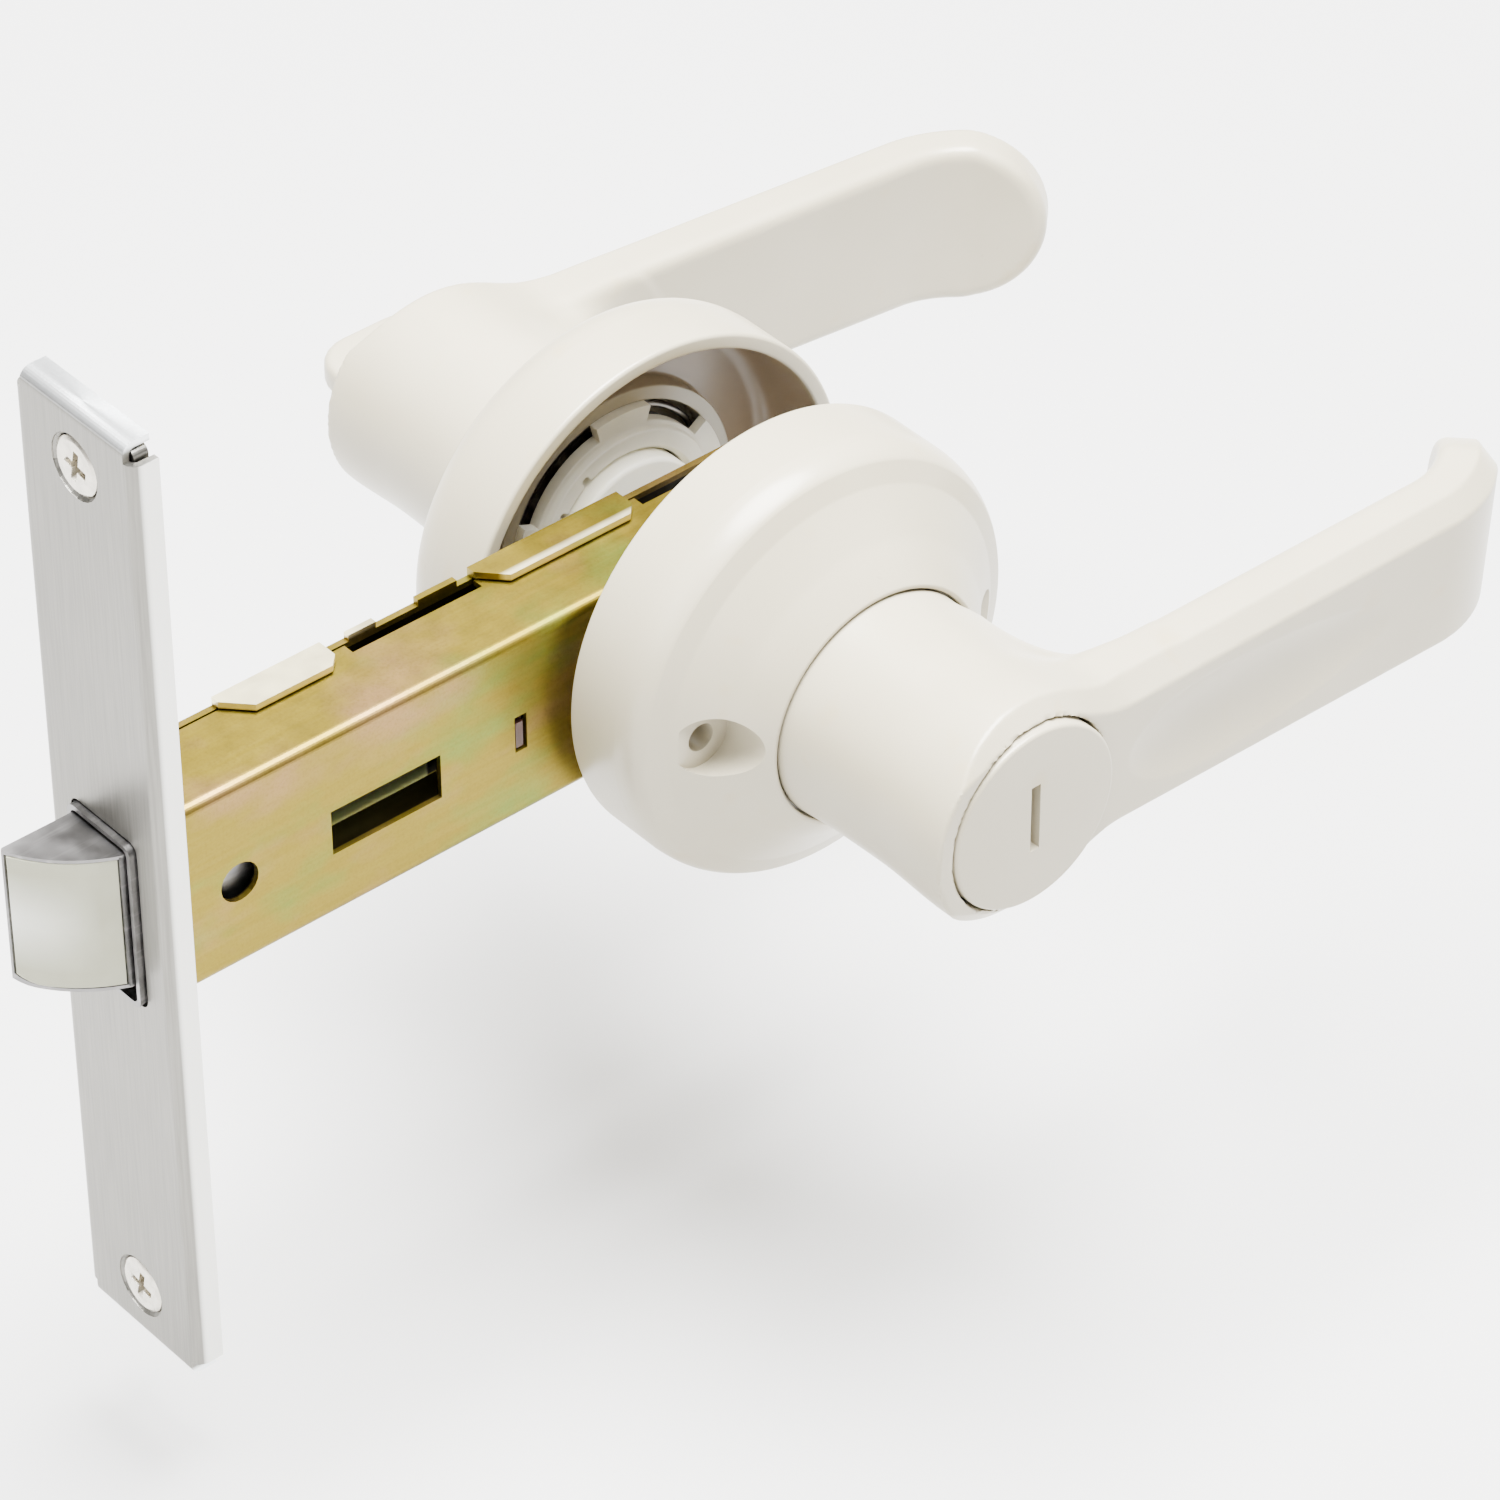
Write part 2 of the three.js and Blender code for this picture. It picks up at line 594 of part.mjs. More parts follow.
// The web is the swept fillet between the round hub and the back of the paddle.
function web(side) {
  const backOfPaddle = side.front - PADDLE.rootThick;
  const rings = [];
  const steps = 6;
  for (let i = 0; i <= steps; i += 1) {
    const a = degrees(90 * i / steps);
    const reach = WEB.reach * (1 - Math.cos(a));
    const out = backOfPaddle - WEB.radius + WEB.radius * Math.sin(a);
    const squeeze = 1 - WEB.squeeze * Math.sin(a);
    rings.push(stadium(reach, out, squeeze));
  }
  rings.push(stadium(WEB.reach, backOfPaddle + 2.5, 1 - WEB.squeeze));
  return loft(rings);
}

function stadium(reach, out, squeeze) {
  const ring = [];
  const radius = HUB.radius - 0.05;
  const sides = 28;
  for (let k = 0; k < sides; k += 1) {
    const a = 2 * Math.PI * k / sides;
    const ahead = Math.max(0, Math.cos(a));
    const narrow = 1 - (1 - squeeze) * ahead;
    ring.push(new THREE.Vector3(radius * Math.cos(a) + reach * ahead, -out,
      radius * Math.sin(a) * narrow));
  }
  return ring;
}

function lever(side, faceRadius) {
  const { radius, root, start, bevel } = HUB;
  const { front } = side;
  const floor = front - DISC.deep;
  const hub = turned([
    [0, NECK.end], [NECK.radius, NECK.end], [NECK.radius, NECK.grooveLow],
    [NECK.groove, NECK.grooveLow], [NECK.groove, NECK.grooveHigh], [NECK.radius, NECK.grooveHigh],
    [NECK.radius, start - 0.9], [root, start - 0.6], [root, start + 0.8], [radius, start + 14],
    [radius, front - bevel], [radius - 0.5, front - bevel / 3], [radius - 1.4, front], [0, front],
  ]);
  return cut(join(hub, web(side), paddle(side)), squareWay(NECK.end - 1, SPINDLE.half + GAP),
    rod(SPINDLE.bore + 0.6, SPINDLE.half - 1, floor + 1),
    rod(faceRadius, floor, front + 1, 0, 0, 36));
}

function coinDisc() {
  const { radius, deep, proud, slot, slotWidth } = DISC;
  const floor = OUTER.front - deep;
  const face = OUTER.front + proud;
  const disc = turned([[0, floor + GAP], [radius, floor + GAP], [radius, face - 0.4],
    [radius - 0.4, face], [0, face]]);
  const coinSlot = box(-slotWidth / 2, slotWidth / 2, -face - 1, -face + 2.4, -slot / 2, slot / 2);
  return cut(disc, coinSlot, shaftWay(floor, floor + 2.4));
}

function thumbTurn() {
  const { collar, thick, tall, radius, round } = KNOB;
  const { front } = INNER;
  const floor = front - DISC.deep;
  const top = front + tall;
  const base = turned([[0, floor + GAP], [collar, floor + GAP],
    [collar, front + 0.6], [collar - 0.8, front + 1.2], [0, front + 1.2]], 40);
  const wing = new THREE.Shape();
  wing.moveTo(-radius, front + 0.8);
  wing.lineTo(-radius, top - round);
  wing.quadraticCurveTo(-radius, top, 0, top);
  wing.quadraticCurveTo(radius, top, radius, top - round);
  wing.lineTo(radius, front + 0.8);
  const blade = alongZ(wing, -thick / 2, thick / 2, 6).rotate([180, 0, 0]);
  return cut(join(base, blade), shaftWay(floor, floor + 2.4));
}

function shaftWay(out0, out1) {
  const wide = SHAFT.wide / 2 + GAP;
  const thin = SHAFT.thick / 2 + GAP;
  return box(-thin, thin, -out1, -out0, -wide, wide);
}

function privacyShaft() {
  const inside = (side) => side.front - DISC.deep + 2;
  return box(-SHAFT.thick / 2, SHAFT.thick / 2, -inside(OUTER), inside(INNER),
    -SHAFT.wide / 2, SHAFT.wide / 2);
}

function spindle() {
  const { side, half, bore } = SPINDLE;
  const bar = box(-side / 2, side / 2, -half, half, -side / 2, side / 2);
  return cut(bar, rod(bore, -half - 1, half + 1, 0, 0, 20));
}

function follower() {
  const { radius, arm, armWidth } = FOLLOWER;
  const hub = rod(radius, CASE.near - 0.3, CASE.far + 0.3, 0, 0, 40);
  const crank = alongY(roundedRect(-armWidth / 2, armWidth / 2, 4, arm, 1), -2.2, 2.2);
  return cut(join(hub, crank), squareWay(-9, 9));
}

function furnish(side, prefix, design, faceRadius) {
  place(side, `${prefix}_rose`, rose(), IVORY);
  place(side, `${prefix}_spring_cover`, springCover(), NYLON);
  place(side, `${prefix}_return_spring`, returnSpring(), SPRING);
  const turning = new THREE.Group();
  turning.rotation.y = prefix === 'outer' ? degrees(REST_SAG) : -degrees(REST_SAG);
  side.add(turning);
  place(turning, `${prefix}_lever`, lever(design, faceRadius), IVORY);
  place(turning, `${prefix}_lever_bush`, leverBush(), NYLON);
  place(turning, `${prefix}_retaining_ring`, retainingRing(), SPRING);
  return turning;
}

const outerTurning = furnish(outerSide, 'outer', OUTER, DISC.recess);
furnish(innerSide, 'inner', INNER, KNOB.collar + GAP);
place(outerTurning, 'spindle', spindle(), ZINC);
place(outerTurning, 'follower', follower(), ZINC);
place(outerSide, 'coin_disc', coinDisc(), IVORY);
place(innerSide, 'thumb_turn', thumbTurn(), IVORY);
place(handle, 'privacy_shaft', privacyShaft(), ZINC);

export default handle;
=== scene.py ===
"""Looks for a privacy lever handle set: faceplate, latch and case, two roses and two levers.

Shapes and finishes are given in millimetres, and a shape turns into metres as its mesh is made.
Lamps and the camera are placed in metres. "Out" is the distance from the middle of the case
towards a side: the outer side lies along -Y and the inner side along +Y.
"""

import json
import math

import bmesh
import bpy
import numpy as np
from mathutils import Matrix, Vector

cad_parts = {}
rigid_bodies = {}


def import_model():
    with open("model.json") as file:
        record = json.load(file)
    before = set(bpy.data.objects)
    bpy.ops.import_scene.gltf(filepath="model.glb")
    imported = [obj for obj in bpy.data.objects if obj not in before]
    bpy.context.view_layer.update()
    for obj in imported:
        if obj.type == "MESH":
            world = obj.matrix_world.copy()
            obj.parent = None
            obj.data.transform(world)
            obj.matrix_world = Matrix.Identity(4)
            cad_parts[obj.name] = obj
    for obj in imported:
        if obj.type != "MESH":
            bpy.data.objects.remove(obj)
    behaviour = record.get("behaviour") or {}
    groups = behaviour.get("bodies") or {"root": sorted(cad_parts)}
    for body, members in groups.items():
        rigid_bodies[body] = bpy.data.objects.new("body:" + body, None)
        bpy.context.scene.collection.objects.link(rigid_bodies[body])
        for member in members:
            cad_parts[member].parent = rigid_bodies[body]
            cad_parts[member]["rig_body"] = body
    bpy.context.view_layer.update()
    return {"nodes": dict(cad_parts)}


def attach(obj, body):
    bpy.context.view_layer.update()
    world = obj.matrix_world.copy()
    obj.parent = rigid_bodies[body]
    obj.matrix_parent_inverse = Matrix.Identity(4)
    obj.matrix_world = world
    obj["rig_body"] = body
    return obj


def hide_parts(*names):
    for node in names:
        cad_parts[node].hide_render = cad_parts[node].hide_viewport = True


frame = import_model()

MM = 0.001
OUTER = -1
INNER = 1

# ---- sizes shared by several pieces ----
BACKSET = 100.0             # faceplate to spindle
SAG = math.radians(4.2)     # how far the levers droop at rest
BOLT_THROW = 12.2           # how far the bolt stands out of the faceplate
SCREW_HEIGHT = 68           # faceplate screws, above and below the bolt
RIM = 10.3                  # how far out a rose's rim lies
ROSE_RADIUS = 32.6
NECK_OUT = 34.6             # how far out a rose ends, where the lever's hub begins
HUB_RADIUS = 16.25
RECESS = {OUTER: 14.2, INNER: 9.9}
FRONTS = {OUTER: 64.5, INNER: 61.6}
SLANTS = {OUTER: math.radians(3.3), INNER: math.radians(1.6)}
SQUARE_WAY = 4.35           # half the width of the square way for the spindle
SHAFT_WAY = 1.15, 2.85      # half the thickness and width of the way for the privacy shaft
COVER_OUTER, COVER_LOBE = 15.8, 18.25
COVER_LOBES = ((73, 103), (157, 178), (214, 292), (337, 394))
COVER_KEYWAYS = (122, 147.5, 302, 327.5)


# ---- making meshes ----
def new_piece(name, points, faces, crease=32):
    """A piece from points in millimetres, with its faces turned outwards."""
    work = bmesh.new()
    corners = [work.verts.new(Vector(p) * MM) for p in points]
    for face in faces:
        work.faces.new([corners[i] for i in face])
    bmesh.ops.remove_doubles(work, verts=work.verts, dist=1e-7)
    bmesh.ops.dissolve_degenerate(work, dist=1e-7, edges=work.edges)
    bmesh.ops.recalc_face_normals(work, faces=work.faces)
    mesh = bpy.data.meshes.new(name)
    work.to_mesh(mesh)
    work.free()
    piece = bpy.data.objects.new(name, mesh)
    bpy.context.scene.collection.objects.link(piece)
    return shaded(piece, crease)


def shaded(piece, crease=32):
    """Smooth shading, but for edges that fold by more than the crease angle."""
    piece.data.shade_smooth()
    piece.data.set_sharp_from_angle(angle=math.radians(crease))
    return piece


def softened(corners, step=15):
    """An outline whose corners, given as (a, b, radius), are rounded to that radius."""
    outline = []
    for i, corner in enumerate(corners):
        here = np.array(corner[:2], float)
        radius = corner[2] if len(corner) > 2 else 0
        if radius == 0:
            outline.append(here)
            continue
        back = np.array(corners[i - 1][:2], float) - here
        ahead = np.array(corners[(i + 1) % len(corners)][:2], float) - here
        room = 0.49 * min(np.linalg.norm(back), np.linalg.norm(ahead))
        back /= np.linalg.norm(back)
        ahead /= np.linalg.norm(ahead)
        half = math.acos(float(np.clip(back @ ahead, -1, 1))) / 2
        reach = min(radius / math.tan(half), room)
        radius = reach * math.tan(half)
        centre = here + (back + ahead) / np.linalg.norm(back + ahead) * radius / math.sin(half)
        first = here + back * reach - centre
        last = here + ahead * reach - centre
        start = math.atan2(first[1], first[0])
        sweep = math.atan2(last[1], last[0]) - start
        sweep = (sweep + math.pi) % (2 * math.pi) - math.pi
        count = max(2, math.ceil(abs(math.degrees(sweep)) / step))
        for k in range(count + 1):
            angle = start + sweep * k / count
            outline.append(centre + radius * np.array([math.cos(angle), math.sin(angle)]))
    return outline


def turned(name, corners, side, segments=144, crease=32):
    """A body turned about the spindle axis from a closed outline of (radius, out) corners."""
    outline = softened(corners)
    count = len(outline)
    points = []
    for k in range(segments):
        angle = 2 * math.pi * k / segments
        for radius, out in outline:
            points.append((radius * math.cos(angle), side * out, radius * math.sin(angle)))
    faces = []
    for k in range(segments):
        here = k * count
        there = (k + 1) % segments * count
        for i in range(count):
            j = (i + 1) % count
            if outline[i][0] > 1e-6 or outline[j][0] > 1e-6:
                faces.append((here + i, here + j, there + j, there + i))
    return new_piece(name, points, faces, crease)


def prism(name, outline, low, high, place):
    """An outline stood from low to high, each point put in space by place(a, b, height)."""
    count = len(outline)
    points = [place(a, b, h) for h in (low, high) for a, b in outline]
    faces = [tuple(range(count)), tuple(range(count, 2 * count))]
    for i in range(count):
        j = (i + 1) % count
        faces.append((i, j, count + j, count + i))
    return new_piece(name, points, faces)


def block(name, x, y, z):
    """A plain cutting block, from its limits along X, Y and Z."""
    outline = [(x[0], y[0]), (x[1], y[0]), (x[1], y[1]), (x[0], y[1])]
    return prism(name, outline, z[0], z[1], lambda a, b, h: (a, b, h))


def drill(name, x, z, radius, out_low, out_high, side, segments=64, tip=None):
    """A round cutter parallel to the spindle; tip is its radius at the far end."""
    tip = radius if tip is None else tip
    ring = [2 * math.pi * k / segments for k in range(segments)]
    points = [(x + r * math.cos(a), side * out, z + r * math.sin(a))
              for r, out in ((radius, out_low), (tip, out_high)) for a in ring]
    faces = [tuple(range(segments)), tuple(range(segments, 2 * segments))]
    for i in range(segments):
        j = (i + 1) % segments
        faces.append((i, j, segments + j, segments + i))
    return new_piece(name, points, faces)


def settled(piece, crease=32):
    """The piece with its modifiers made final."""
    graph = bpy.context.evaluated_depsgraph_get()
    mesh = bpy.data.meshes.new_from_object(piece.evaluated_get(graph))
    piece.modifiers.clear()
    piece.data = mesh
    return shaded(piece, crease)


def carved(piece, *cutters, keep="DIFFERENCE", crease=32):
    """Takes the cutters away from the piece, or joins or crosses them as keep says."""
    for cutter in cutters:
        cut = piece.modifiers.new("cut", "BOOLEAN")
        cut.operation = keep
        cut.object = cutter
        cut.solver = "EXACT"
    settled(piece, crease)
    for cutter in cutters:
        bpy.data.objects.remove(cutter)
    return piece


def eased(piece, width, segments=2, angle=40):
    """Breaks the piece's sharp edges by a small rounding, width in millimetres."""
    edge = piece.modifiers.new("eased edges", "BEVEL")
    edge.width = width * MM
    edge.segments = segments
    edge.limit_method = "ANGLE"
    edge.angle_limit = math.radians(angle)
    edge.harden_normals = True
    edge.use_clamp_overlap = True
    return piece


def wound(name, centres, wire):
    """Round wire along a line of points, closed at both ends."""
    sides = 14
    line = np.array(centres, float)
    heading = np.gradient(line, axis=0)
    heading /= np.linalg.norm(heading, axis=1)[:, None]
    across = np.cross(heading[0], (0.3, 0.2, 0.9))
    points = []
    for centre, ahead in zip(line, heading):
        across = across - ahead * (across @ ahead)
        across /= np.linalg.norm(across)
        upward = np.cross(ahead, across)
        for k in range(sides):
            angle = 2 * math.pi * k / sides
            points.append(centre + wire / 2 * (math.cos(angle) * across + math.sin(angle) * upward))
    faces = []
    for ring in range(len(line) - 1):
        for k in range(sides):
            j = (k + 1) % sides
            low = ring * sides
            faces.append((low + k, low + j, low + sides + j, low + sides + k))
    faces.append(tuple(range(sides)))
    faces.append(tuple(range(len(points) - sides, len(points))))
    return new_piece(name, points, faces, 50)


# ---- lever shapes, worked out as distances from their surface ----
def melt(a, b, reach):
    """Joins two shapes with a fillet about as large as reach."""
    share = np.clip(reach - np.abs(a - b), 0, None) / reach
    return np.minimum(a, b) - share * share * reach / 4


def trim(a, b, reach):
    """Keeps what lies in both shapes, with its new edge softened over reach."""
    return -melt(-a, -b, reach)


def smooth_step(value, low, high):
    """0 below low, 1 above high and an S-shaped rise between."""
    share = np.clip((value - low) / (high - low), 0, 1)
    return share * share * (3 - 2 * share)


# the grip runs straight, bends back towards the door and ends in a short straight tip
BEND_START = 81.6
BEND_RADIUS = 23.6
BEND_ANGLE = math.radians(44)
TIP_RUN = 9.7


def along_grip(x, out, side):
    """How far along the grip's outer face a point lies, how deep behind that face, and the
    whole length of the grip."""
    slant, front = SLANTS[side], FRONTS[side]
    ahead = np.array([math.cos(slant), -math.sin(slant)])
    behind = np.array([-math.sin(slant), -math.cos(slant)])
    straight = BEND_START / math.cos(slant)
    run = x * ahead[0] + (out - front) * ahead[1]
    depth = x * behind[0] + (out - front) * behind[1]
    past = run - straight
    turn = np.arctan2(past, BEND_RADIUS - depth)
    radius = np.hypot(past, BEND_RADIUS - depth)
    arc = BEND_RADIUS * BEND_ANGLE
    tip_run = past * math.cos(BEND_ANGLE) - (BEND_RADIUS - depth) * math.sin(BEND_ANGLE)
    tip_depth = BEND_RADIUS - (past * math.sin(BEND_ANGLE)
                               + (BEND_RADIUS - depth) * math.cos(BEND_ANGLE))
    bent = (past > 0) & (turn <= BEND_ANGLE)
    tip = (past > 0) & (turn > BEND_ANGLE)
    s = np.where(bent, straight + BEND_RADIUS * turn, run)
    s = np.where(tip, straight + arc + tip_run, s)
    d = np.where(bent, BEND_RADIUS - radius, depth)
    d = np.where(tip, tip_depth, d)
    return s, d, straight + arc + TIP_RUN


def lever_surface(p, side):
    """Distance from a lever's surface, negative inside, at points (x, out, z)."""
    x, out, z = p[..., 0], p[..., 1], p[..., 2]
    front = FRONTS[side]
    radial = np.hypot(x, z)
    s, depth, total = along_grip(x, out, side)
    share = np.clip(s / total, 0, 1)
    half = 12.1 + 1.1 * share
    thick = 9.6 - 1.0 * share
    past = np.clip((s - total + 14) / 14, 0, None)
    bar = (np.hypot(past, z / half) - 1) * half
    # the grip, rounded along its back edges
    grip = trim(trim(bar, depth - thick, 2.2), -s - 2, 1)
    # the round hub, a little wider where it leaves the rose and at its front
    swell = 0.75 * np.exp(-np.clip(out - NECK_OUT, 0, None) / 7) + 0.5 * smooth_step(out, 50, 62)
    hub = radial - (HUB_RADIUS + swell)
    # the web sweeps from the hub's side to the back of the grip
    beyond = x - np.sqrt(np.clip(HUB_RADIUS ** 2 - z * z, 0, None))
    sweep, reach = 16.6, 17.4
    low = front - 9.0 - sweep
    hollow = sweep - np.hypot(beyond - reach, out - low)
    web = trim(trim(beyond - reach, low - out, 1), hollow, 1)
    web = trim(trim(web, np.abs(z) - 11.2, 3), -x, 1)
    body = melt(hub, melt(grip, web, 3), 4.5)
    # one chamfer runs round the hub and along both edges of the grip
    ring = np.hypot(s, z) - 16.9
    edge = melt(ring, bar, 7)
    chamfer = 0.679 * edge - 0.734 * depth + 2.09
    # a finger dish in the outer face, blunt near the hub and running out towards the tip
    middle, deep, half_width = 34, 1.6, 7.4
    run = np.where(s < middle, 15.5, 36)
    dish = deep * np.clip(1 - ((s - middle) / run) ** 2 - (z / half_width) ** 2, 0, None)
    body = trim(body, chamfer, 0.25)
    body = trim(body, dish - depth, 0.15)
    body = trim(body, edge - 0.25, 0.3)
    # the neck inside the rose, grooved for its retaining ring
    shoulder = trim(body, (NECK_OUT - 0.9) - out, 0.4)
    groove = 1.2 * (smooth_step(out, 20.9, 21.2) - smooth_step(out, 22.2, 22.5))
    neck = trim(trim(radial - 13.8 + groove, 20.2 - out, 0.3), out - 40, 0.3)
    body = np.minimum(shoulder, neck)
    # square way for the spindle, and the round recess in the hub's end
    way = np.maximum(np.maximum(np.abs(x), np.abs(z)) - SQUARE_WAY, out - 50.4)
    well = trim(radial - RECESS[side], (front - 5.5) - out, 0.2)
    lead = np.maximum(radial - 3.5, out - front)
    return trim(trim(body, -well, 0.25), -np.minimum(way, lead), 0.2)


# the corners and edges of one cell of the grid that a lever is skinned on
CORNERS = np.array([(i, j, k) for i in (0, 1) for j in (0, 1) for k in (0, 1)])
EDGES = [(a, b) for a in range(8) for b in range(a + 1, 8)
         if np.abs(CORNERS[a] - CORNERS[b]).sum() == 1]


def skinned(surface, low, high, step):
    """Points and four-sided faces of a closed skin over the shape whose distances
    surface(points) gives, one point to each grid cell that the shape's surface crosses."""
    axes = [np.arange(a, b + step, step) for a, b in zip(low, high)]
    values = np.empty([len(axis) for axis in axes])
    for i, x in enumerate(axes[0]):
        sheet = np.stack(np.meshgrid([x], axes[1], axes[2], indexing="ij"), -1)
        values[i] = surface(sheet)[0]
    nx, ny, nz = (n - 1 for n in values.shape)
    corner = [values[i:i + nx, j:j + ny, k:k + nz] for i, j, k in CORNERS]
    count = sum((c < 0).astype(int) for c in corner)
    crossed = (count > 0) & (count < 8)
    label = -np.ones(crossed.shape, int)
    label[crossed] = np.arange(crossed.sum())
    cell = np.argwhere(crossed)
    held = np.stack([c[crossed] for c in corner], 1)
    total = np.zeros((len(cell), 3))
    hits = np.zeros(len(cell))
    for a, b in EDGES:
        change = (held[:, a] < 0) != (held[:, b] < 0)
        share = held[:, a] / np.where(change, held[:, a] - held[:, b], 1)
        spot = CORNERS[a] + share[:, None] * (CORNERS[b] - CORNERS[a])
        total += np.where(change[:, None], spot, 0)
        hits += change
    points = np.array([axis[0] for axis in axes]) + (cell + total / hits[:, None]) * step
    # settle every point onto the true surface
    reach = 0.02
    for _ in range(3):
        here = surface(points)
        slope = np.stack([(surface(points + shift) - surface(points - shift)) / (2 * reach)
                          for shift in np.eye(3) * reach], 1)
        move = here[:, None] * slope / np.clip((slope ** 2).sum(1), 0.2, None)[:, None]
        length = np.linalg.norm(move, axis=1)[:, None]
        points -= move * np.minimum(1, 0.35 * step / np.maximum(length, 1e-9))
    faces = []
    for axis in range(3):
        first = [slice(1, n) for n in (nx, ny, nz)]
        first[axis] = slice(0, (nx, ny, nz)[axis])
        ahead = list(first)
        ahead[axis] = slice(1, (nx, ny, nz)[axis] + 1)
        inside, next_inside = values[tuple(first)] < 0, values[tuple(ahead)] < 0
        spots = np.argwhere(inside != next_inside)
        spots += [0 if k == axis else 1 for k in range(3)]
        side_a, side_b = np.eye(3, dtype=int)[(axis + 1) % 3], np.eye(3, dtype=int)[(axis + 2) % 3]
        around = [spots - side_a - side_b, spots - side_b, spots, spots - side_a]
        quads = np.stack([label[tuple(c.T)] for c in around], 1)
        flip = ~inside[tuple((spots - [0 if k == axis else 1 for k in range(3)]).T)]
        quads[flip] = quads[flip][:, ::-1]
        faces.append(quads)
    return points, np.concatenate(faces)


def lever(name, side):
    """A lever with its hub and neck, drooping by the sag."""
    low, high = (-19, 19.5, -19), (107, FRONTS[side] + 1, 19)
    step = 0.45
    points, faces = skinned(lambda p: lever_surface(p, side), low, high, step)
    x, out, z = points.T
    sagged = np.stack([x * math.cos(SAG) + z * math.sin(SAG), side * out,
                       z * math.cos(SAG) - x * math.sin(SAG)], 1) * MM
    if side == OUTER:
        faces = faces[:, ::-1]
    mesh = bpy.data.meshes.new(name)
    mesh.from_pydata(sagged.tolist(), [], faces.tolist())
    mesh.validate()
    piece = bpy.data.objects.new(name, mesh)
    bpy.context.scene.collection.objects.link(piece)
    return shaded(piece, 55)


# ---- roses ----
def rose(name, side):
    """A rose: a hollow cup with a cone, a bore for the lever's neck and two screw ways."""
    # the shoulder rounds over to a faint ridge, then runs flat to the foot of the cone
    shoulder = []
    start, sweep, steps = 4, 44, 9
    for k in range(steps + 1):
        angle = math.radians(start + sweep * k / steps)
        shoulder.append((28.1 + 4.45 * math.cos(angle), 19.6 + 6.0 * math.sin(angle)))
    shoulder += [(30.9, 24.16), (28.55, 25.42), (28.3, 25.55), (28.1, 25.71)]
    inside = ROSE_RADIUS - 2.3
    body = turned(name, [
        (inside, RIM, 0.45), (ROSE_RADIUS, RIM, 0.6), (ROSE_RADIUS, 19.4, 0.25),
        *shoulder, (22.6, 30.1, 14), (17.95, 34.6, 0.5),
        (17.35, 34.6, 0.3), (17.35, 32.4), (14.2, 32.2), (14.2, 22.8),
        (18.3, 22.8, 0.4), (18.3, 19.3, 0.25), (20.5, 19.3, 0.25), (20.5, 22.8, 0.5),
        (inside - 1.5, 22.8, 3), (inside, 19.5),
    ], side, segments=192, crease=28)
    cutters = []
    for turn in (1, -1):
        x, z = -23.4 * turn, 1.8 * turn
        cutters.append(drill("counterbore", x, z, 4.6, 26.2, 37, side, tip=4.7))
        cutters.append(drill("screw way", x, z, 2.1, 18, 27, side, segments=48))
    return carved(body, *cutters, crease=28)


def spring_cover(name, side):
    """The nylon cover that holds the return spring: a stepped disc whose lobes reach across to
    the rose's rib, leaving arc slots between them."""
    disc = turned("cover disc", [
        (11.95, 17.5, 0.2), (12.6, 16.9, 0.3), (14.9, 17.0, 0.35), (15.2, 17.9, 0.3),
        (COVER_OUTER, 18.1, 0.25), (COVER_OUTER, 19.9), (11.95, 19.9),
    ], side)
    carved(disc, *[keyway(angle, side) for angle in COVER_KEYWAYS])
    carved(disc, *[lobe(low, high, side) for low, high in COVER_LOBES], keep="UNION")
    disc.name = name
    return disc


def lobe(low, high, side):
    """An arc-shaped tongue from the cover to the rib, between two angles in degrees."""
    steps = max(6, int((high - low) / 3))
    angles = [math.radians(low + (high - low) * k / steps) for k in range(steps + 1)]
    root = COVER_OUTER - 0.6
    outline = [(COVER_LOBE * math.cos(a), COVER_LOBE * math.sin(a)) for a in angles]
    outline += [(root * math.cos(a), root * math.sin(a)) for a in reversed(angles)]
    return prism("lobe", outline, 18.05, 19.6, lambda a, b, h: (a, side * h, b))


def keyway(angle, side):
    """A short radial notch with a rounded end in the cover's bore."""
    turn = math.radians(angle)
    outline = softened([(10.5, -0.65), (13.8, -0.65, 0.5), (13.8, 0.65, 0.5), (10.5, 0.65)])
    outline = [(a * math.cos(turn) - b * math.sin(turn), a * math.sin(turn) + b * math.cos(turn))
               for a, b in outline]
    return prism("keyway", outline, 15, 21, lambda a, b, h: (a, side * h, b))


def return_spring(name, side):
    """The flat coil that turns a lever back, in the space behind its spring cover."""
    turns, steps, ring = 1.9, 240, 16.9
    line = []
    for k in range(steps + 1):
        angle = 2 * math.pi * turns * k / steps + 0.6
        line.append((ring * math.cos(angle), side * (20.9 + 1.1 * k / steps),
                     ring * math.sin(angle)))
    return wound(name, line, 0.9)


def lever_bush(name, side):
    """The square-holed bush that centres the spindle in the lever's neck."""
    radius, low, high = 11.6, 14.9, 19.85
    body = turned(name, [(0, low), (radius, low, 0.7), (radius, high), (0, high)], side)
    square = (-SQUARE_WAY, SQUARE_WAY)
    hole = block("square way", square, sorted((side * 14, side * 20.5)), square)
    hole.data.transform(Matrix.Rotation(SAG, 4, "Y"))
    return carved(body, hole)


# ---- coin disc and thumb turn ----
def shaft_way(low, high):
    thick, wide = SHAFT_WAY
    return block("shaft way", (-thick, thick), (low, high), (-wide, wide))


def coin_disc(name):
    """The disc in the outer hub, with its coin slot."""
    radius, back, face = 13.8, 59.35, FRONTS[OUTER] + 0.95
    disc = turned(name, [(0, back), (radius, back, 0.3), (radius, face, 0.55), (0, face)],
                  OUTER, segments=176)
    slot = block("slot", (-0.8, 0.8), (-face - 1, -face + 2.4), (-5.3, 5.3))
    return eased(carved(disc, slot, shaft_way(-61.8, -58)), 0.18, angle=50)


